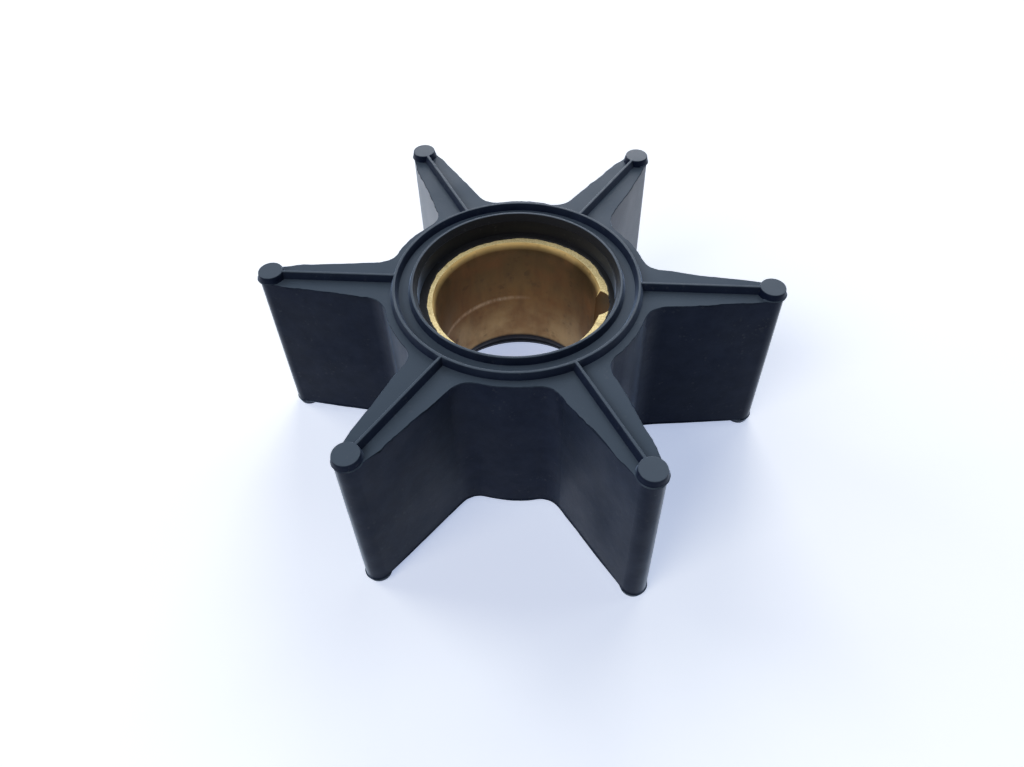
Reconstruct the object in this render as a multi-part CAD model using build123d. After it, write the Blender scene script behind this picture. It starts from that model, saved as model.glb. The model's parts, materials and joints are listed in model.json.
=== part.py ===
# Rubber pump impeller: six radial vanes and a hub moulded in one piece of rubber round a brass bush.
# Millimetres, +Z up. The origin is on the bore axis, in the plane of the lower ridge tops.
from build123d import *
import math
import os

# Whole impeller
overall_height = 25.0       # over the ridges, ribs and tip caps of both ends
vane_count = 6

# Brass bush
bore_radius = 10.0
bush_wall = 2.5
chamfer_width = 0.5         # lead-in at both ends of the bore
chamfer_depth = 1.4
keyway_radius = 2.25
keyway_inset = 0.5          # the round keyway is centred this far inside the wall of the bore
keyway_angle = -2.5         # from the +X vane

# Hub, at the upper end face
hub_wall = 3.6              # rubber round the bush
root_fillet_radius = 3.0    # where a vane runs into the hub

# Draft: the mould opens downwards, so every outer wall leans out towards the lower end
hub_draft = 1.2
flank_draft = 0.4
tip_draft = 1.9             # outer edges of the vanes

# Vanes, at the upper end face
vane_root_thickness = 6.4   # at the hub radius
tip_circle_radius = 30.5    # circle through the centres of the upper tip caps
post_radius = 1.55          # rounded outer edge of a vane, centred on the tip circle
cap_radius = 1.5            # flat top of a tip cap
cap_side_run = 0.2          # how far the side of a cap spreads from top to foot

# Raised detail of both end faces
ridge_height = 0.9
ridge_top_width = 0.3
ridge_side_run = 0.35       # how far each sloped side spreads from top to foot
outer_ridge_inset = 1.25    # edge of the hub to the middle of the ring ridge that the ribs join
inner_ridge_offset = 0.18   # outside of the bush to the middle of the ring ridge round the recess

# Recess at each end of the bore
recess_step = 0.1           # fine step where the mould's core met its plate
bush_face_depth = 3.15      # ridge tops to the end of the bush
lip_thickness = 0.2         # skin of rubber over the rim of the bush
lip_width = 1.15            # how far the skin reaches in over the end of the bush

# Worked out from the sizes above
bush_radius = bore_radius + bush_wall
chamfer_radius = bore_radius + chamfer_width
keyway_offset = bore_radius - keyway_inset
hub_radius = bush_radius + hub_wall
outer_ridge_radius = hub_radius - outer_ridge_inset
inner_ridge_radius = bush_radius + inner_ridge_offset
lip_radius = bush_radius - lip_width
body_height = overall_height - 2 * ridge_height
lower_hub_radius = hub_radius + body_height * math.tan(math.radians(hub_draft))
lower_tip_circle_radius = tip_circle_radius + body_height * math.tan(math.radians(tip_draft))
flank_growth = body_height * math.tan(math.radians(flank_draft))
ridge_foot_width = ridge_top_width + 2 * ridge_side_run
recess_radius = inner_ridge_radius - ridge_foot_width / 2 - recess_step
vane_angles = [index * 360 / vane_count for index in range(vane_count)]


def spread(shape):
    """One copy of a shape on each vane's line."""
    return [Rot(0, 0, angle) * shape for angle in vane_angles]


def vane_section(growth, tip_circle):
    """Outline of a vane at one end face: straight flanks that run out of the hub to touch the rounded
    outer edge. Each flank stands further out than at the upper end face by the growth."""
    root = Vector(hub_radius, vane_root_thickness / 2)
    to_post = Vector(tip_circle_radius, 0) - root
    flank_angle = math.atan2(to_post.Y, to_post.X) + math.asin(post_radius / to_post.length)
    along = Vector(math.cos(flank_angle), math.sin(flank_angle))
    outward = Vector(-math.sin(flank_angle), math.cos(flank_angle))
    middle = Vector(tip_circle, 0)
    radius = (root - middle).dot(outward) + growth
    inner = root + outward * growth - along * root_fillet_radius
    flank = Line(inner, middle + outward * radius)
    other_flank = mirror(flank, Plane.XZ)
    tip = ThreePointArc(flank @ 1, middle + Vector(radius, 0), other_flank @ 1)
    return make_face([flank, tip, other_flank, Line(other_flank @ 0, inner)])


def is_root(edge):
    """Whether an edge of the block is an upright one, where a vane meets the hub."""
    middle = edge @ 0.5
    is_upright = edge.bounding_box().size.Z > body_height / 2
    return is_upright and math.hypot(middle.X, middle.Y) < lower_hub_radius


def body_block():
    """Hub and vanes between the end faces, with drafted walls and filleted roots."""
    hub = Cone(lower_hub_radius, hub_radius, body_height, align=(Align.CENTER, Align.CENTER, Align.MIN))
    upper = Pos(0, 0, body_height) * vane_section(0, tip_circle_radius)
    lower = vane_section(flank_growth, lower_tip_circle_radius)
    block = hub + spread(loft([lower, upper], ruled=True))
    block = fillet(block.edges().filter_by(is_root), root_fillet_radius)
    return Pos(0, 0, ridge_height) * block


def ridge_section(middle):
    """Section of a raised ridge, standing on the end face, in the XZ plane."""
    foot = ridge_foot_width / 2
    top = ridge_top_width / 2
    points = [(middle - foot, 0), (middle + foot, 0), (middle + top, ridge_height), (middle - top, ridge_height)]
    return make_face(Plane.XZ * Polyline(*points, close=True))


def ring_ridge(radius):
    return revolve(ridge_section(radius), Axis.Z)


def radial_rib(cap_circle):
    """Thin rib along a vane, from the outer ring ridge to the tip cap."""
    section = Rot(0, 0, 90) * ridge_section(0)
    return Pos(outer_ridge_radius, 0, 0) * extrude(section, cap_circle - outer_ridge_radius, dir=(1, 0, 0))


def tip_cap(cap_circle):
    cap = Cone(cap_radius + cap_side_run, cap_radius, ridge_height, align=(Align.CENTER, Align.CENTER, Align.MIN))
    return Pos(cap_circle, 0, 0) * cap


def end_detail(cap_circle):
    """Everything that stands proud of one end face, with the end face at z = 0."""
    rings = [ring_ridge(outer_ridge_radius), ring_ridge(inner_ridge_radius)]
    return rings + spread(radial_rib(cap_circle)) + spread(tip_cap(cap_circle))


def hub_void():
    """The space inside the hub: a stepped recess at each end and the seat of the bush."""
    mouth_radius = inner_ridge_radius - ridge_top_width / 2
    step_radius = recess_radius + recess_step
    upper = [
        (mouth_radius, overall_height),
        (step_radius, overall_height - ridge_height),
        (recess_radius, overall_height - ridge_height),
        (recess_radius, overall_height - bush_face_depth + lip_thickness),
        (lip_radius, overall_height - bush_face_depth + lip_thickness),
        (lip_radius, overall_height - bush_face_depth),
        (bush_radius, overall_height - bush_face_depth),
    ]
    lower = [(radius, overall_height - height) for radius, height in reversed(upper)]
    points = [(0, overall_height)] + upper + lower + [(0, 0)]
    return revolve(make_face(Plane.XZ * Polyline(*points, close=True)), Axis.Z)


def rubber_body():
    upper_detail = Pos(0, 0, overall_height - ridge_height) * Compound(end_detail(tip_circle_radius))
    lower_detail = Pos(0, 0, ridge_height) * mirror(Compound(end_detail(lower_tip_circle_radius)), Plane.XY)
    body = body_block() + upper_detail.solids() + lower_detail.solids()
    return body - hub_void()


def brass_bush():
    """Turned bush with a lead-in at both ends of its bore and a half-round keyway down one side."""
    length = overall_height - 2 * bush_face_depth
    points = [
        (bore_radius, chamfer_depth),
        (chamfer_radius, 0),
        (bush_radius, 0),
        (bush_radius, length),
        (chamfer_radius, length),
        (bore_radius, length - chamfer_depth),
    ]
    turned = revolve(make_face(Plane.XZ * Polyline(*points, close=True)), Axis.Z)
    keyway = Pos(keyway_offset, 0, 0) * Cylinder(keyway_radius, length, align=(Align.CENTER, Align.CENTER, Align.MIN))
    return Pos(0, 0, bush_face_depth) * (turned - Rot(0, 0, keyway_angle) * keyway)


os.makedirs("parts", exist_ok=True)
for name, build in (("rubber_body", rubber_body), ("brass_bush", brass_bush)):
    part = build()
    part.label = name
    export_step(part, f"parts/{name}.step")
    print(name, round(part.volume, 1), "mm3,", len(part.solids()), "solid")
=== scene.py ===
import bpy
import bmesh
import json
import math
from mathutils import Matrix, Vector, noise

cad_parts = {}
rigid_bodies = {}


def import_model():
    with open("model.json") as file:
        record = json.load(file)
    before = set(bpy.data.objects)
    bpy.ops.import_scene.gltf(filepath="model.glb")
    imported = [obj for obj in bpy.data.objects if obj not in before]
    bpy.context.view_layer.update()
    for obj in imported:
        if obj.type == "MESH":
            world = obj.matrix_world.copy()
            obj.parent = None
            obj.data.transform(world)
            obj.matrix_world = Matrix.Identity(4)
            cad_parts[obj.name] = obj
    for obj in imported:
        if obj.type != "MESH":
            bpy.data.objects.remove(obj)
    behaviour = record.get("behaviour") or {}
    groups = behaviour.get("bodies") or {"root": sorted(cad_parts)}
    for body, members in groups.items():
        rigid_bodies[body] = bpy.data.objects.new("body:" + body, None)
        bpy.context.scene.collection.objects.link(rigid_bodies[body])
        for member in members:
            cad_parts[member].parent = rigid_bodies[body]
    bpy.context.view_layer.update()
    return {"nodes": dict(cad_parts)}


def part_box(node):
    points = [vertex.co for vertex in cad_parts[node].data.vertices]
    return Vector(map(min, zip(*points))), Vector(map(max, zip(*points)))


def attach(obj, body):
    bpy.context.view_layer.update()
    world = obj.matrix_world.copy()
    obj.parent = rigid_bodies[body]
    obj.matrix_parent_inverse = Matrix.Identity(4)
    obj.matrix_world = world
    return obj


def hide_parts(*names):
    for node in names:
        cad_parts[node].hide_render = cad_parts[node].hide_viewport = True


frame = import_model()
mm = 0.001
near = 0.02 * mm     # a point this close to a level or a radius counts as lying on it
flat = 0.001 * mm    # an edge whose ends differ by less than this in height is level
print("frame loaded")


# Small helpers for working on a piece

shadingValues = {
    "smoothAngle": 32,   # degrees, a sharper turn than this stays a crease
    "faceWeight": 50,    # large faces pull the shading to themselves
}


def deselectEverything():
    for item in bpy.context.view_layer.objects:
        item.select_set(False)


def makeActive(piece):
    deselectEverything()
    piece.select_set(True)
    bpy.context.view_layer.objects.active = piece


def startEditing(piece, kind="FACE"):
    makeActive(piece)
    bpy.ops.object.mode_set(mode="EDIT")
    bpy.ops.mesh.select_mode(type=kind)


def stopEditing():
    bpy.ops.object.mode_set(mode="OBJECT")


def choose(piece, kind, test):  # selects the faces, edges or vertices that pass a test, and nothing else
    bpy.ops.mesh.select_mode(type=kind)
    bpy.ops.mesh.select_all(action="DESELECT")
    work = bmesh.from_edit_mesh(piece.data)
    work.normal_update()
    parts = {"VERT": work.verts, "EDGE": work.edges, "FACE": work.faces}[kind]
    chosen = 0
    for part in parts:
        if test(part):
            part.select_set(True)
            chosen += 1
    work.select_flush_mode()
    bmesh.update_edit_mesh(piece.data)
    return chosen


def applyModifier(piece, kind, **settings):
    makeActive(piece)
    modifier = piece.modifiers.new(kind, kind)
    for name, value in settings.items():
        setattr(modifier, name, value)
    bpy.ops.object.modifier_apply(modifier=modifier.name)


def shadeAndDress(piece, material):
    makeActive(piece)
    bpy.ops.object.shade_smooth_by_angle(angle=math.radians(shadingValues["smoothAngle"]))
    applyModifier(piece, "WEIGHTED_NORMAL", keep_sharp=True, weight=shadingValues["faceWeight"])
    piece.data.materials.clear()
    piece.data.materials.append(material)


def flattened(place):
    return Vector((place.x, place.y, 0))


def axisDistance(place):
    return math.hypot(place.x, place.y)


# Camera

cameraValues = {
    "place": (5.98 * mm, -66.85 * mm, 86.50 * mm),
    "aim": (-0.362 * mm, -6.201 * mm, 12.5 * mm),
    "roll": 2.21,              # degrees, clockwise seen from behind the camera
    "lens": 26.2,
    "sensorWidth": 36,
    "clip": (1 * mm, 20),
}


def makeCamera():
    values = cameraValues
    place = Vector(values["place"])
    bpy.ops.object.camera_add(location=place)
    camera = bpy.context.object
    camera.name = "sceneCamera"
    level = (Vector(values["aim"]) - place).to_track_quat("-Z", "Y").to_matrix()
    turned = level @ Matrix.Rotation(math.radians(-values["roll"]), 3, "Z")
    camera.rotation_euler = turned.to_euler()
    camera.data.lens = values["lens"]
    camera.data.sensor_width = values["sensorWidth"]
    camera.data.clip_start, camera.data.clip_end = values["clip"]
    bpy.context.scene.camera = camera


# Floor, world and lamps

stageValues = {
    "floorSize": 3.0,
    "floorDrop": 0.02 * mm,          # keeps the lowest ridge tops off the floor
    "floorColour": (1.0, 0.96, 0.80, 1),
    "liftColour": (0.62, 0.725, 1.0, 1),
    "floorLift": 0.66,               # makes the lit floor read as white without lighting the part
    "skyColour": (0.95, 0.97, 1.0, 1),
    "skyStrength": 0.04,
    "lampDistance": 1.05,            # from the middle of the floor
}

lampValues = {   # azimuth goes round from the right-hand vane and height up from the floor, both in degrees
    "back": {"azimuth": 91, "height": 25, "size": 0.60, "power": 4.5, "colour": (1.0, 0.98, 0.99)},
    "backRight": {"azimuth": 66, "height": 48, "size": 0.50, "power": 1.3, "colour": (0.95, 0.98, 1.0)},
    "right": {"azimuth": 15, "height": 14, "size": 0.50, "power": 2.0, "colour": (0.80, 0.90, 1.0)},
    "left": {"azimuth": 158, "height": 27, "size": 0.60, "power": 3.5, "colour": (0.94, 0.97, 1.0)},
    "front": {"azimuth": 229, "height": 41, "size": 0.60, "power": 3.2, "colour": (1.0, 0.98, 0.97)},
}


def addNode(tree, kind, **settings):
    made = tree.nodes.new(kind)
    for name, value in settings.items():
        setattr(made, name, value)
    return made


def join(tree, source, target):
    tree.links.new(source, target)


def combine(tree, operation, *parts):  # each part is a socket or a plain number
    node = addNode(tree, "ShaderNodeMath", operation=operation)
    for part, socket in zip(parts, node.inputs):
        if isinstance(part, (int, float)):
            socket.default_value = part
        else:
            join(tree, part, socket)
    return node.outputs[0]


def remap(tree, value, low, high, toLow, toHigh, **settings):
    node = addNode(tree, "ShaderNodeMapRange", **settings)
    for name, number in (("From Min", low), ("From Max", high), ("To Min", toLow), ("To Max", toHigh)):
        node.inputs[name].default_value = number
    join(tree, value, node.inputs["Value"])
    return node.outputs[0]


def seenDirectly(tree):  # 1 for the camera's own view and for gloss and glass, 0 for light on the part
    path = addNode(tree, "ShaderNodeLightPath")
    seen = combine(tree, "MAXIMUM", path.outputs["Is Camera Ray"], path.outputs["Is Glossy Ray"])
    return combine(tree, "MAXIMUM", seen, path.outputs["Is Transmission Ray"])


def makeFloor():
    values = stageValues
    bpy.ops.mesh.primitive_plane_add(size=values["floorSize"], location=(0, 0, -values["floorDrop"]))
    floor = bpy.context.object
    floor.name = "paleFloor"
    bpy.ops.object.transform_apply(location=True, rotation=True, scale=True)
    material = bpy.data.materials.new("paleFloor")
    material.use_nodes = True
    tree = material.node_tree
    tree.nodes.clear()
    output = addNode(tree, "ShaderNodeOutputMaterial")
    matt = addNode(tree, "ShaderNodeBsdfDiffuse")
    matt.inputs["Color"].default_value = values["floorColour"]
    glow = addNode(tree, "ShaderNodeEmission")
    glow.inputs["Color"].default_value = values["liftColour"]
    strength = combine(tree, "MULTIPLY", seenDirectly(tree), values["floorLift"])
    join(tree, strength, glow.inputs["Strength"])
    both = addNode(tree, "ShaderNodeAddShader")
    join(tree, matt.outputs[0], both.inputs[0])
    join(tree, glow.outputs[0], both.inputs[1])
    join(tree, both.outputs[0], output.inputs["Surface"])
    floor.data.materials.append(material)


def makeWorld():
    values = stageValues
    world = bpy.data.worlds.new("paleRoom")
    world.use_nodes = True
    bpy.context.scene.world = world
    tree = world.node_tree
    tree.nodes.clear()
    output = addNode(tree, "ShaderNodeOutputWorld")
    sky = addNode(tree, "ShaderNodeBackground")
    sky.inputs["Color"].default_value = values["skyColour"]
    sky.inputs["Strength"].default_value = values["skyStrength"]
    white = addNode(tree, "ShaderNodeBackground")
    white.inputs["Color"].default_value = (1, 1, 1, 1)
    white.inputs["Strength"].default_value = 1
    pick = addNode(tree, "ShaderNodeMixShader")
    join(tree, seenDirectly(tree), pick.inputs[0])
    join(tree, sky.outputs[0], pick.inputs[1])
    join(tree, white.outputs[0], pick.inputs[2])
    join(tree, pick.outputs[0], output.inputs["Surface"])


def makeLamps():
    for name, values in lampValues.items():
        azimuth = math.radians(values["azimuth"])
        height = math.radians(values["height"])
        level = Vector((math.cos(azimuth), math.sin(azimuth), 0)) * math.cos(height)
        toLamp = level + Vector((0, 0, math.sin(height)))
        bpy.ops.object.light_add(type="AREA", location=toLamp * stageValues["lampDistance"])
        lamp = bpy.context.object
        lamp.name = name + "Lamp"
        lamp.rotation_euler = toLamp.to_track_quat("Z", "Y").to_euler()
        lamp.data.shape = "DISK"
        lamp.data.size = values["size"]
        lamp.data.energy = values["power"]
        lamp.data.color = values["colour"]


# Shader groups and helpers that the rubber and the brass share

grainValues = {   # each number that goes into the group gives one pattern, from 0 to 1
    "Fine": {"result": "Grain", "scale": 6.0, "detail": 4, "roughness": 0.65},
    "Wide": {"result": "Clouds", "scale": 0.3, "detail": 5, "roughness": 0.55},
}

speckValues = {
    "scale": 3.0,
    "cover": 0.3,
    "solidCore": 0.02,            # the middle of a speck, before it begins to fade
    "patchScale": 0.35,
    "patchDetail": 3,
    "patchEdges": (0.45, 0.65),   # specks gather where the patch pattern is above these
}


def newGroup(name, numbers, results):  # every group reads a place and some numbers, and gives masks
    tree = bpy.data.node_groups.new(name, "ShaderNodeTree")
    tree.interface.new_socket("Vector", in_out="INPUT", socket_type="NodeSocketVector")
    for label, value in numbers.items():
        socket = tree.interface.new_socket(label, in_out="INPUT", socket_type="NodeSocketFloat")
        socket.default_value = value
    for label in results:
        tree.interface.new_socket(label, in_out="OUTPUT", socket_type="NodeSocketFloat")
    return tree, addNode(tree, "NodeGroupInput"), addNode(tree, "NodeGroupOutput")


def makeGrainGroup():  # fine tooth and wide cloudiness
    numbers = {name: values["scale"] for name, values in grainValues.items()}
    results = [values["result"] for values in grainValues.values()]
    tree, source, target = newGroup("surfaceGrain", numbers, results)
    for name, values in grainValues.items():
        pattern = addNode(tree, "ShaderNodeTexNoise")
        pattern.inputs["Detail"].default_value = values["detail"]
        pattern.inputs["Roughness"].default_value = values["roughness"]
        join(tree, source.outputs["Vector"], pattern.inputs["Vector"])
        join(tree, source.outputs[name], pattern.inputs["Scale"])
        join(tree, pattern.outputs["Fac"], target.inputs[values["result"]])
    return tree


def makeSpeckGroup():  # scattered specks, gathered in patches
    values = speckValues
    numbers = {"Scale": values["scale"], "Cover": values["cover"]}
    tree, source, target = newGroup("scatteredSpecks", numbers, ["Mask"])
    cells = addNode(tree, "ShaderNodeTexVoronoi", feature="F1")
    join(tree, source.outputs["Vector"], cells.inputs["Vector"])
    join(tree, source.outputs["Scale"], cells.inputs["Scale"])
    split = addNode(tree, "ShaderNodeSeparateColor")
    join(tree, cells.outputs["Color"], split.inputs[0])
    size = combine(tree, "MULTIPLY", split.outputs[0], source.outputs["Cover"])
    speck = addNode(tree, "ShaderNodeMapRange", interpolation_type="SMOOTHSTEP")
    speck.inputs["From Min"].default_value = values["solidCore"]
    speck.inputs["To Min"].default_value = 1
    speck.inputs["To Max"].default_value = 0
    join(tree, cells.outputs["Distance"], speck.inputs["Value"])
    join(tree, size, speck.inputs["From Max"])
    patch = addNode(tree, "ShaderNodeTexNoise")
    patch.inputs["Scale"].default_value = values["patchScale"]
    patch.inputs["Detail"].default_value = values["patchDetail"]
    join(tree, source.outputs["Vector"], patch.inputs["Vector"])
    gathered = remap(
        tree, patch.outputs["Fac"], *values["patchEdges"], 0, 1, interpolation_type="SMOOTHSTEP")
    join(tree, combine(tree, "MULTIPLY", speck.outputs[0], gathered), target.inputs["Mask"])
    return tree


def useGroup(tree, group, vector, **values):
    made = addNode(tree, "ShaderNodeGroup", node_tree=group)
    join(tree, vector, made.inputs["Vector"])
    for name, value in values.items():
        made.inputs[name].default_value = value
    return made


def newMaterial(name):
    material = bpy.data.materials.new(name)
    material.use_nodes = True
    tree = material.node_tree
    tree.nodes.clear()
    output = addNode(tree, "ShaderNodeOutputMaterial")
    shader = addNode(tree, "ShaderNodeBsdfPrincipled")
    join(tree, shader.outputs[0], output.inputs["Surface"])
    place = addNode(tree, "ShaderNodeTexCoord")
    scale = addNode(tree, "ShaderNodeMapping")
    scale.inputs["Scale"].default_value = (1 / mm, 1 / mm, 1 / mm)   # patterns are sized in millimetres
    join(tree, place.outputs["Object"], scale.inputs["Vector"])
    return material, tree, shader, scale.outputs[0]


def mixColour(tree, factor, first, second):  # each colour is a socket or a plain value
    mix = addNode(tree, "ShaderNodeMix", data_type="RGBA")
    join(tree, factor, mix.inputs["Factor"])
    for value, socket in zip((first, second), mix.inputs[6:8]):   # the node's two colours
        if isinstance(value, tuple):
            socket.default_value = value
        else:
            join(tree, value, socket)
    return mix.outputs[2]   # the mixed colour


def heightOf(tree, vector):
    split = addNode(tree, "ShaderNodeSeparateXYZ")
    join(tree, vector, split.inputs[0])
    return split.outputs["Z"]


def stretched(tree, vector, scale):  # each axis is scaled: below 1 draws a pattern out, and 0 leaves it out
    node = addNode(tree, "ShaderNodeVectorMath", operation="MULTIPLY")
    node.inputs[1].default_value = scale
    join(tree, vector, node.inputs[0])
    return node.outputs[0]


def radiusOf(tree, vector):  # distance from the bore's axis
    radius = addNode(tree, "ShaderNodeVectorMath", operation="LENGTH")
    join(tree, stretched(tree, vector, (1, 1, 0)), radius.inputs[0])
    return radius.outputs["Value"]


def levelness(tree):  # 0 on an upright wall, 1 on a level face
    place = addNode(tree, "ShaderNodeTexCoord")
    return combine(tree, "ABSOLUTE", heightOf(tree, place.outputs["Normal"]))


def addBump(tree, shader, heights):  # heights: sockets, each with its depth in metres
    normal = None
    for height, depth in heights:
        bump = addNode(tree, "ShaderNodeBump")
        bump.inputs["Strength"].default_value = 1
        bump.inputs["Distance"].default_value = depth
        join(tree, height, bump.inputs["Height"])
        if normal is not None:
            join(tree, normal, bump.inputs["Normal"])
        normal = bump.outputs[0]
    join(tree, normal, shader.inputs["Normal"])


# Rubber

rubberFinish = {   # levels are in millimetres above the lowest ridge tops
    "grain": {"Fine": 7.0, "Wide": 0.45},
    "wave": {"Fine": 1.4, "Wide": 0.16},
    "dust": {"Scale": 3.6, "Cover": 0.45},
    "cloudRange": (0.35, 0.65),               # where clouds turn from dark to pale and from smooth to dull
    "darkColour": (0.003, 0.006, 0.020, 1),
    "paleColour": (0.008, 0.013, 0.034, 1),
    "endPaintedLightColour": (0.072, 0.100, 0.140, 1),    # painted light: level faces at both ends take this paler colour, standing in for light from above
    "endLevels": (1.45, 23.55),
    "levelRange": (0.335, 0.85),              # where a sloped face turns from a wall into an end, for the ends' painted light and their polish
    "levelSoftness": 0.05,
    # painted light: rubber in the recess is greyer and less blue, standing in for light thrown on it by the
    # brass
    "recessPaintedLightColour": (0.020, 0.020, 0.022, 1),
    "outerWalls": (12.50, 12.58),             # the recess lies within this distance of the axis
    "dustColour": (0.24, 0.26, 0.28, 1),
    "dustAmount": 0.06,
    "roughness": (0.38, 0.52),
    "ior": 1.20,
    "glossTint": (0.54, 0.73, 1.0, 1),
    "polishIor": 1.5,                         # polished skin, left by the smooth ends of the mould
    "polishRoughness": 0.36,
    "facePolish": 0.04,
    "topPolish": 0.24,                        # the same on the tops of the ridges, ribs and caps
    "topLevels": (0.15, 24.85),
    "grazing": (0.66, 0.86),                  # an outer wall seen along its length shines
    "sheen": 1.0,
    "sheenRoughness": 0.28,
    "sheenTint": (0.52, 0.70, 1.0, 1),
    "grainDepth": 0.006 * mm,
    "waveDepth": 0.05 * mm,
}


def beyond(tree, height, levels):  # 1 below the first level and above the second, 0 between them
    soft = rubberFinish["levelSoftness"]
    low, high = levels
    below = remap(tree, height, low, low - soft, 0, 1)
    above = remap(tree, height, high, high + soft, 0, 1)
    return combine(tree, "MAXIMUM", below, above)


def makeRubber(grainGroup, speckGroup):
    values = rubberFinish
    material, tree, shader, vector = newMaterial("rubber")
    grain = useGroup(tree, grainGroup, vector, **values["grain"])
    wave = useGroup(tree, grainGroup, vector, **values["wave"])
    dust = useGroup(tree, speckGroup, vector, **values["dust"])
    height = heightOf(tree, vector)
    level = remap(tree, levelness(tree), *values["levelRange"], 0, 1)
    outside = remap(tree, radiusOf(tree, vector), *values["outerWalls"], 0, 1)
    isEnd = beyond(tree, height, values["endLevels"])
    isTop = beyond(tree, height, values["topLevels"])

    tone = remap(tree, grain.outputs["Clouds"], *values["cloudRange"], 0, 1)
    colour = mixColour(tree, tone, values["darkColour"], values["paleColour"])
    # painted light: inside the recess the rubber takes the greyer recess colour
    colour = mixColour(tree, outside, values["recessPaintedLightColour"], colour)
    # painted light: level faces at the ends, outside the recess, take the paler end colour, sloped faces
    # less of it
    ends = combine(tree, "MULTIPLY", combine(tree, "MULTIPLY", level, isEnd), outside)
    colour = mixColour(tree, ends, colour, values["endPaintedLightColour"])
    amount = remap(tree, dust.outputs["Mask"], 0, 1, 0, values["dustAmount"])
    colour = mixColour(tree, amount, colour, values["dustColour"])
    join(tree, colour, shader.inputs["Base Color"])
    rough = remap(tree, wave.outputs["Clouds"], *values["cloudRange"], *values["roughness"])
    join(tree, rough, shader.inputs["Roughness"])
    shader.inputs["IOR"].default_value = values["ior"]
    shader.inputs["Specular Tint"].default_value = values["glossTint"]

    polish = remap(tree, isTop, 0, 1, values["facePolish"], values["topPolish"])
    polish = combine(tree, "MULTIPLY", level, polish)
    facing = addNode(tree, "ShaderNodeLayerWeight")
    along = remap(tree, facing.outputs["Facing"], *values["grazing"], 0, 1)
    along = combine(tree, "MULTIPLY", along, remap(tree, isEnd, 0, 1, 1, 0))
    along = combine(tree, "MULTIPLY", along, outside)
    join(tree, combine(tree, "MAXIMUM", polish, along), shader.inputs["Coat Weight"])
    shader.inputs["Coat IOR"].default_value = values["polishIor"]
    shader.inputs["Coat Roughness"].default_value = values["polishRoughness"]
    shader.inputs["Sheen Weight"].default_value = values["sheen"]
    shader.inputs["Sheen Roughness"].default_value = values["sheenRoughness"]
    shader.inputs["Sheen Tint"].default_value = values["sheenTint"]
    addBump(tree, shader, [
        (wave.outputs["Clouds"], values["waveDepth"]),
        (grain.outputs["Grain"], values["grainDepth"]),
    ])
    return material


# Brass

brassFinish = {   # levels are in millimetres above the lowest ridge tops
    "grain": {"Fine": 5.0, "Wide": 0.22},
    "streaks": {"Fine": 2.2, "Wide": 0.75},
    "streakStretch": (1, 1, 0.25),     # streaks run up and down the bore
    "stain": {"Scale": 1.3, "Cover": 0.8},
    "cloudRange": (0.35, 0.65),
    "wearRange": (0.42, 0.62),         # copper patches and scuffs come up over this part of a pattern
    "chamferTilt": (0.12, 0.28),       # how level a face is, from the bore's wall to the chamfer
    "faceTilt": (0.55, 0.85),          # and from the chamfer to the end of the bush
    "faceColour": (0.72, 0.63, 0.38, 1),
    "scuffColour": (0.50, 0.41, 0.20, 1),
    "scuffShare": 0.75,
    "chamferColour": (0.92, 0.71, 0.33, 1),
    # painted shade: the bore wall is far darker than the chamfer and the end, darkest near the top and
    # paler lower down, standing in for light from the lower opening reflected there
    "boreShadeColours": ((0.170, 0.118, 0.056, 1), (0.31, 0.18, 0.066, 1), (0.50, 0.33, 0.145, 1)),
    "boreShadeLevels": (20.5, 12.5, 6.5),   # where each of those colours is full
    "copperColour": (0.32, 0.16, 0.075, 1),
    "copperShare": 0.50,
    "stainColour": (0.10, 0.065, 0.04, 1),
    "stainShare": 0.35,
    "streakRange": (0.45, 0.70),
    "streakShare": 0.22,
    "lowerMouthShadeColour": (0.02, 0.018, 0.018, 1),
    "lowerEdge": (4.9, 4.4),           # painted shade: below this the bore's lower mouth is made nearly black
    "reflectionLineLevel": 12.2,                 # painted reflection: a pale line in the bore where the reflected floor ends
    "reflectionLineWidth": 0.50,
    "reflectionLineFade": (1.5, -3.5),           # it fades out towards the right-hand vane
    "reflectionLineStrength": (0.2, 0.8),            # and it is fainter and stronger along its length
    "reflectionLineColour": (0.85, 0.62, 0.38, 1),
    "roughness": (0.48, 0.66),
    "chamferRoughness": -0.06,         # added on the chamfer and the end of the bush
    "faceRoughness": 0.22,             # added to that on the end of the bush
    "turningPitch": 5.0,               # tool marks in a millimetre
    "turningDetail": 3,
    "turningDepth": 0.0025 * mm,
    "grainDepth": 0.005 * mm,
}


# bore colour: painted shade graded by height, with copper patches, streaks and a painted reflection line
def shadedBoreColour(tree, place, streaks, clouds):
    values = brassFinish
    height = place.outputs["Z"]
    high, middle, low = values["boreShadeColours"]
    highLevel, middleLevel, lowLevel = values["boreShadeLevels"]
    colour = mixColour(tree, remap(tree, height, highLevel, middleLevel, 0, 1), high, middle)
    colour = mixColour(tree, remap(tree, height, middleLevel, lowLevel, 0, 1), colour, low)
    patches = remap(tree, clouds, *values["wearRange"], 0, values["copperShare"])
    colour = mixColour(tree, patches, colour, values["copperColour"])
    streak = remap(tree, streaks.outputs["Clouds"], *values["streakRange"], 0, values["streakShare"])
    colour = mixColour(tree, streak, colour, values["stainColour"])
    # painted reflection: a pale line round the bore at one height
    away = combine(tree, "ABSOLUTE", combine(tree, "SUBTRACT", height, values["reflectionLineLevel"]))
    line = remap(tree, away, 0, values["reflectionLineWidth"], 1, 0)
    line = combine(tree, "MULTIPLY", line, remap(tree, place.outputs["X"], *values["reflectionLineFade"], 0, 1))
    lineStrength = remap(tree, streaks.outputs["Grain"], *values["cloudRange"], *values["reflectionLineStrength"])
    line = combine(tree, "MULTIPLY", line, lineStrength)
    return mixColour(tree, line, colour, values["reflectionLineColour"])


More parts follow.
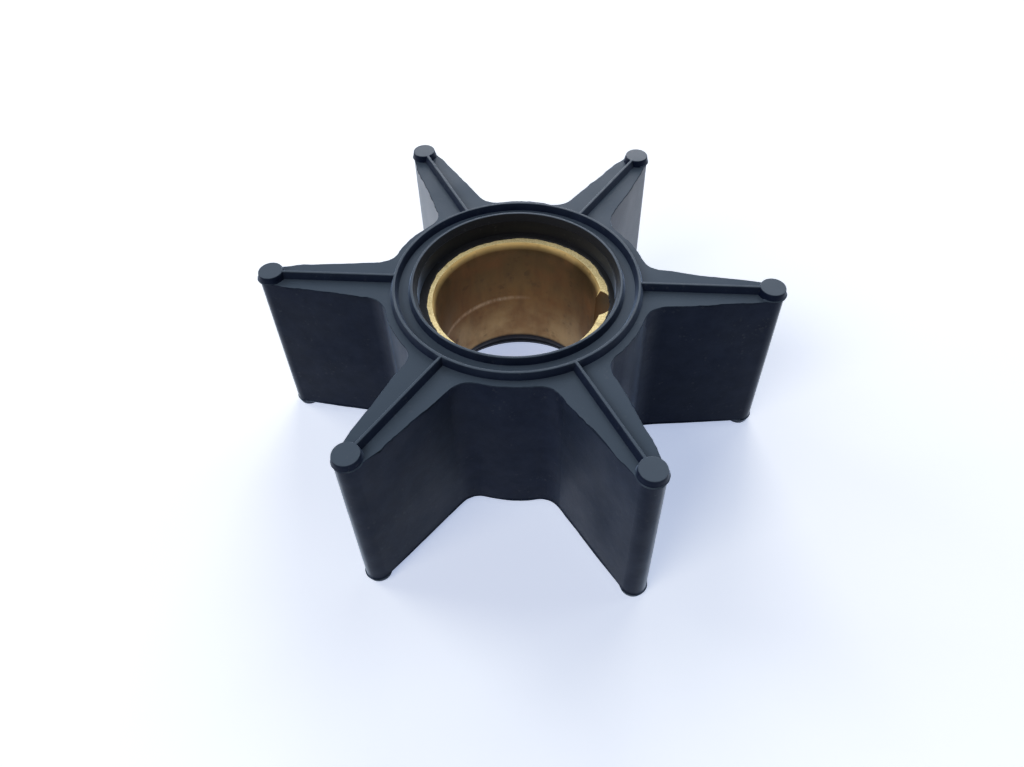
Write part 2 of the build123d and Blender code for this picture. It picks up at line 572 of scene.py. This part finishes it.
def toolMarks(tree, vector, height):  # the pattern only varies across the tool's path
    values = brassFinish
    across = addNode(tree, "ShaderNodeCombineXYZ")
    join(tree, radiusOf(tree, vector), across.inputs["X"])
    join(tree, height, across.inputs["Y"])
    marks = addNode(tree, "ShaderNodeTexNoise")
    marks.inputs["Scale"].default_value = values["turningPitch"]
    marks.inputs["Detail"].default_value = values["turningDetail"]
    join(tree, across.outputs[0], marks.inputs["Vector"])
    return marks.outputs["Fac"]


def makeBrass(grainGroup, speckGroup):
    values = brassFinish
    material, tree, shader, vector = newMaterial("brass")
    drawnOut = stretched(tree, vector, values["streakStretch"])
    grain = useGroup(tree, grainGroup, vector, **values["grain"])
    streaks = useGroup(tree, grainGroup, drawnOut, **values["streaks"])
    stain = useGroup(tree, speckGroup, vector, **values["stain"])
    place = addNode(tree, "ShaderNodeSeparateXYZ")
    join(tree, vector, place.inputs[0])
    height = place.outputs["Z"]
    tilt = levelness(tree)
    sloped = remap(tree, tilt, *values["chamferTilt"], 0, 1)
    level = remap(tree, tilt, *values["faceTilt"], 0, 1)

    bore = shadedBoreColour(tree, place, streaks, grain.outputs["Clouds"])
    colour = mixColour(tree, sloped, bore, values["chamferColour"])
    scuffs = remap(tree, grain.outputs["Grain"], *values["wearRange"], 0, values["scuffShare"])
    face = mixColour(tree, scuffs, values["faceColour"], values["scuffColour"])
    colour = mixColour(tree, level, colour, face)
    stained = remap(tree, stain.outputs["Mask"], 0, 1, 0, values["stainShare"])
    colour = mixColour(tree, stained, colour, values["stainColour"])
    # painted shade: the bore's lower mouth is made nearly black
    lowerMouthShaded = remap(tree, height, *values["lowerEdge"], 0, 1)
    colour = mixColour(tree, lowerMouthShaded, colour, values["lowerMouthShadeColour"])
    join(tree, colour, shader.inputs["Base Color"])
    shader.inputs["Metallic"].default_value = 1
    rough = remap(tree, grain.outputs["Clouds"], *values["cloudRange"], *values["roughness"])
    rough = combine(tree, "ADD", rough, remap(tree, sloped, 0, 1, 0, values["chamferRoughness"]))
    rough = combine(tree, "ADD", rough, remap(tree, level, 0, 1, 0, values["faceRoughness"]))
    join(tree, rough, shader.inputs["Roughness"])
    addBump(tree, shader, [
        (toolMarks(tree, vector, height), values["turningDepth"]),
        (grain.outputs["Grain"], values["grainDepth"]),
    ])
    return material


# Rubber body: hub, vanes, ridges and caps in one moulding

rubberBodyValues = {
    "ridgeHeight": 0.9 * mm,
    "vanes": 6,
    "tipCircle": {"lower": 31.27 * mm, "upper": 30.5 * mm},   # cap centres
    "capFoot": 1.70 * mm,
    "capClear": 1.80 * mm,
    "coarseWeld": 0.001 * mm,                # joins the solid's loose triangles
    "fineWeld": 0.002 * mm,                  # clears slivers from the finished mesh
    "flatAngle": 0.3,                        # degrees, faces this close to one plane become one
    "topSlack": 0.002 * mm,                  # how far from the top of a ridge its edges may lie
    "ridgeAngle": 20,                        # degrees, a sharper top edge than this is rounded
    "edgeRadius": 0.08 * mm,
    "lipThickness": 0.11 * mm,
    "lipSlope": 0.06 * mm,                   # its under edge stands further out than its top edge
    "lipStep": 0.38 * mm,                    # longest edge along a lip
    "lipHalvings": 8,                        # most times that a long edge is halved
    "lipFade": 1.3 * mm,                     # a lip dies out over this length beside a cap
    "lipRest": 0.12,                         # share of it that is left there
    "lipWallSlope": 0.2,                     # only a wall steeper than this has a lip
    "lipInnerLimit": 15 * mm,                # and only outside the recess
    "lipReach": {"lower": 0.12 * mm, "upper": 0.36 * mm},
    "capReach": {"lower": 0.12 * mm, "upper": 0.18 * mm},
    "capUnderShare": 0.15,                   # the far edge of a cap's lip stands out by this share
    "capPattern": 1.7,                       # a cap's lip is cut more finely than a vane's
    "capBack": -0.62,                        # cosine, the lip stops where the rib joins the cap
    "cutSlack": 0.0005 * mm,                 # a cut this close to a point goes through it
    "skinRadius": 11.35 * mm,
    "skinCuts": 4,
    "skinSlack": 0.03 * mm,                  # the cut points lie this little inside the skin's radius
    "skinReach": 0.10 * mm,                  # the skin reaches further in than the solid's rim
    "skinShift": 0.15 * mm,                  # and lies off centre, towards the right-hand vane
    "skinWander": 0.14 * mm,
    "skinSlope": 0.12 * mm,                  # its outer edge stands back from the one on the bush
    "skinFoot": 0.05 * mm,                   # a point this near the bush is on its foot
}

flashValues = {   # an uneven trimmed edge: wide swells with small nicks, sized in millimetres
    "share": 0.42,
    "swell": {"scale": 0.22, "share": 0.75, "shift": (3.1, 0.7, 5.3)},
    "ripple": {"scale": 0.9, "share": 0.26},
    "nick": {"scale": 2.6, "share": 0.16},
    "limits": (0.06, 1.25),
}

wanderValues = {   # the ragged line of the skin over the rim of the bush
    "wave": {"scale": 0.8, "share": 0.7},
    "notch": {"scale": 3.1, "share": 0.6},
}


def raggedness(point, values):  # one noise of a ragged edge
    shift = Vector(values.get("shift", (0, 0, 0)))
    return values["share"] * noise.noise(point * values["scale"] + shift)


def isLevel(edge):
    return abs(edge.verts[0].co.z - edge.verts[1].co.z) < flat


def mergedCopy(nodeName, pieceName):
    values = rubberBodyValues
    piece = bpy.data.objects.new(pieceName, frame["nodes"][nodeName].data.copy())
    bpy.context.scene.collection.objects.link(piece)
    makeActive(piece)
    bpy.ops.mesh.customdata_custom_splitnormals_clear()
    startEditing(piece, "VERT")
    bpy.ops.mesh.select_all(action="SELECT")
    bpy.ops.mesh.remove_doubles(threshold=values["coarseWeld"])
    bpy.ops.mesh.dissolve_limited(angle_limit=math.radians(values["flatAngle"]))
    return piece


def nearestCap(place, circle):
    step = math.tau / rubberBodyValues["vanes"]
    angle = round(math.atan2(place.y, place.x) / step) * step
    return Vector((math.cos(angle), math.sin(angle), 0)) * circle


def softenRidgeTops(piece, level):  # the top edges of ridges, ribs and caps are slightly round
    values = rubberBodyValues

    def isTopEdge(edge):
        onTop = all(abs(vertex.co.z - level) < values["topSlack"] for vertex in edge.verts)
        return onTop and edge.calc_face_angle(0) > math.radians(values["ridgeAngle"])

    choose(piece, "EDGE", isTopEdge)
    bpy.ops.mesh.bevel(offset=values["edgeRadius"], segments=2, profile=0.5, clamp_overlap=True)


def cutBand(level):
    bpy.ops.mesh.select_all(action="SELECT")
    bpy.ops.mesh.bisect(
        plane_co=(0, 0, level), plane_no=(0, 0, 1), threshold=rubberBodyValues["cutSlack"])


def shortenEdges(piece, isBandFace):
    values = rubberBodyValues

    def isLong(edge):
        long = isLevel(edge) and edge.calc_length() > values["lipStep"]
        return long and any(isBandFace(face) for face in edge.link_faces)

    for _ in range(values["lipHalvings"]):
        if not choose(piece, "EDGE", isLong):
            break
        bpy.ops.mesh.subdivide(number_cuts=1)


def pushLip(piece, isBandFace, reachAt):
    choose(piece, "FACE", isBandFace)
    bpy.ops.mesh.extrude_region_move()
    work = bmesh.from_edit_mesh(piece.data)
    outward = {}
    for face in work.faces:
        if face.select:
            for vertex in face.verts:
                outward[vertex] = outward.get(vertex, Vector()) + flattened(face.normal).normalized()
    for vertex, direction in outward.items():
        vertex.co += direction.normalized() * reachAt(vertex.co)
    bmesh.update_edit_mesh(piece.data)


def flashReach(place, most):
    point = place / mm
    share = flashValues["share"]
    for name in ("swell", "ripple", "nick"):
        share += raggedness(point, flashValues[name])
    least, greatest = flashValues["limits"]
    return most * min(max(share, least), greatest)


def addFlash(piece, end):  # a thin lip of rubber left round the vanes and the caps of one end
    values = rubberBodyValues
    low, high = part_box("rubber_body")
    up = 1 if end == "upper" else -1
    face = high.z - values["ridgeHeight"] if end == "upper" else low.z + values["ridgeHeight"]
    circle = values["tipCircle"][end]
    wallCut = face - up * values["lipThickness"]
    capCut = face + up * values["lipThickness"]
    cutBand(wallCut)
    cutBand(capCut)

    def between(middle, first, second):
        return min(first, second) < middle.z < max(first, second)

    def fromCap(place):
        return flattened(place) - nearestCap(place, circle)

    def isWallBand(part):
        middle = part.calc_center_median()
        onWall = axisDistance(middle) > values["lipInnerLimit"]
        steep = abs(part.normal.z) < values["lipWallSlope"]
        clear = fromCap(middle).length > values["capClear"]
        return between(middle, face, wallCut) and onWall and steep and clear

    def isCapBand(part):
        middle = part.calc_center_median()
        out = fromCap(middle)
        toTip = nearestCap(middle, circle).normalized()
        close = out.length < values["capFoot"] + near
        return between(middle, face, capCut) and close and out.normalized().dot(toTip) > values["capBack"]

    def wallReach(place):
        gap = fromCap(place).length - values["capClear"]
        fade = min(max(gap / values["lipFade"], values["lipRest"]), 1)
        slope = 0 if abs(place.z - face) < near else values["lipSlope"]
        return (flashReach(place, values["lipReach"][end]) + slope) * fade

    def capReach(place):
        thin = 1 if abs(place.z - face) < near else values["capUnderShare"]
        return flashReach(place * values["capPattern"], values["capReach"][end]) * thin

    for isBand, reach in ((isWallBand, wallReach), (isCapBand, capReach)):
        shortenEdges(piece, isBand)
        pushLip(piece, isBand, reach)


def roughenSkinEdge(piece):  # the thin skin over the rim of the bush ends in a ragged line
    values = rubberBodyValues

    def isOnEdge(vertex, slack):
        return abs(axisDistance(vertex.co) - values["skinRadius"]) < slack

    def isRingEdge(edge):
        return isLevel(edge) and all(isOnEdge(vertex, near) for vertex in edge.verts)

    choose(piece, "EDGE", isRingEdge)
    bpy.ops.mesh.subdivide(number_cuts=values["skinCuts"])
    choose(piece, "VERT", lambda vertex: isOnEdge(vertex, values["skinSlack"]))
    work = bmesh.from_edit_mesh(piece.data)
    low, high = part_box("brass_bush")
    for vertex in work.verts:
        if vertex.select:
            point = vertex.co / mm
            wander = raggedness(point, wanderValues["wave"]) + raggedness(point, wanderValues["notch"])
            toBush = min(abs(vertex.co.z - high.z), abs(vertex.co.z - low.z))
            slope = values["skinSlope"] if toBush > values["skinFoot"] else 0
            reach = values["skinWander"] * wander - values["skinReach"] + slope
            vertex.co += flattened(vertex.co).normalized() * reach + Vector((values["skinShift"], 0, 0))
    bmesh.update_edit_mesh(piece.data)


def makeRubberBody(material):
    values = rubberBodyValues
    piece = mergedCopy("rubber_body", "rubberBody")
    low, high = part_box("rubber_body")
    for level in (low.z, high.z):
        softenRidgeTops(piece, level)
    for end in ("lower", "upper"):
        addFlash(piece, end)
    roughenSkinEdge(piece)
    bpy.ops.mesh.select_all(action="SELECT")
    bpy.ops.mesh.remove_doubles(threshold=values["fineWeld"])
    bpy.ops.mesh.dissolve_degenerate(threshold=values["fineWeld"])
    bpy.ops.mesh.normals_make_consistent(inside=False)
    stopEditing()
    shadeAndDress(piece, material)
    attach(piece, "root")
    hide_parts("rubber_body")
    print("rubber body:", len(piece.data.polygons), "faces")


# Brass bush

brassBushValues = {
    "boreRadius": 10.0 * mm,
    "chamferWidth": 0.5 * mm,
    "chamferDepth": 1.4 * mm,
    "keywayRadius": 2.25 * mm,
    "keywayOffset": 9.5 * mm,
    "keywayAngle": -2.5,       # degrees from the right-hand vane
    "cutterLength": 1.2,       # of the keyway's cutter, in lengths of the bush
    "cutterSides": 96,
    "sides": 180,
    "edgeRadius": 0.05 * mm,
    "edgeAngle": 22,           # degrees, a sharper edge than this is rounded
    "slack": 0.01 * mm,
}


def openBore(piece, outer, ends):  # a lead-in at each end, upper first, and then the wall between them
    values = brassBushValues
    bore = values["boreRadius"]
    mouth = bore + values["chamferWidth"]
    for up, level in zip((1, -1), ends):
        choose(piece, "FACE", lambda face: abs(face.calc_center_median().z - level) < values["slack"])
        bpy.ops.mesh.inset(thickness=outer - mouth)
        bpy.ops.mesh.extrude_region_move(
            TRANSFORM_OT_translate={"value": (0, 0, -up * values["chamferDepth"])})
        share = bore / mouth
        bpy.ops.transform.resize(value=(share, share, 1), center_override=(0, 0, level))

    def isInnerDisc(face):   # level, with more corners than the faces round it
        return abs(face.normal.z) > 0.99 and len(face.verts) > 4

    def isOpenEdge(edge):
        return len(edge.link_faces) == 1 and axisDistance(edge.verts[0].co) < bore + values["slack"]

    choose(piece, "FACE", isInnerDisc)
    bpy.ops.mesh.delete(type="ONLY_FACE")
    choose(piece, "EDGE", isOpenEdge)
    bpy.ops.mesh.bridge_edge_loops()


def cutKeyway(piece, length, middle):
    values = brassBushValues
    angle = math.radians(values["keywayAngle"])
    offset = values["keywayOffset"]
    bpy.ops.mesh.primitive_cylinder_add(
        vertices=values["cutterSides"], radius=values["keywayRadius"],
        depth=length * values["cutterLength"],
        location=(offset * math.cos(angle), offset * math.sin(angle), middle))
    cutter = bpy.context.object
    applyModifier(piece, "BOOLEAN", operation="DIFFERENCE", solver="EXACT", object=cutter)
    bpy.data.objects.remove(cutter)


def makeBrassBush(material):
    values = brassBushValues
    low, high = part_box("brass_bush")
    outer = (high.x - low.x) / 2
    length = high.z - low.z
    middle = (low.z + high.z) / 2
    bpy.ops.mesh.primitive_cylinder_add(
        vertices=values["sides"], radius=outer, depth=length, location=(0, 0, middle))
    piece = bpy.context.object
    piece.name = "brassBush"
    bpy.ops.object.transform_apply(location=True, rotation=True, scale=True)
    startEditing(piece)
    openBore(piece, outer, (high.z, low.z))
    bpy.ops.mesh.select_all(action="SELECT")
    bpy.ops.mesh.normals_make_consistent(inside=False)
    stopEditing()
    cutKeyway(piece, length, middle)
    applyModifier(piece, "BEVEL", width=values["edgeRadius"], segments=2, limit_method="ANGLE",
                  angle_limit=math.radians(values["edgeAngle"]))
    shadeAndDress(piece, material)
    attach(piece, "root")
    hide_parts("brass_bush")
    print("brass bush:", len(piece.data.polygons), "faces")


bpy.context.scene.view_settings.view_transform = "Standard"
makeCamera()
makeFloor()
makeWorld()
makeLamps()
print("camera, floor and lamps set")
grainGroup = makeGrainGroup()
speckGroup = makeSpeckGroup()
rubber = makeRubber(grainGroup, speckGroup)
brass = makeBrass(grainGroup, speckGroup)
makeRubberBody(rubber)
makeBrassBush(brass)
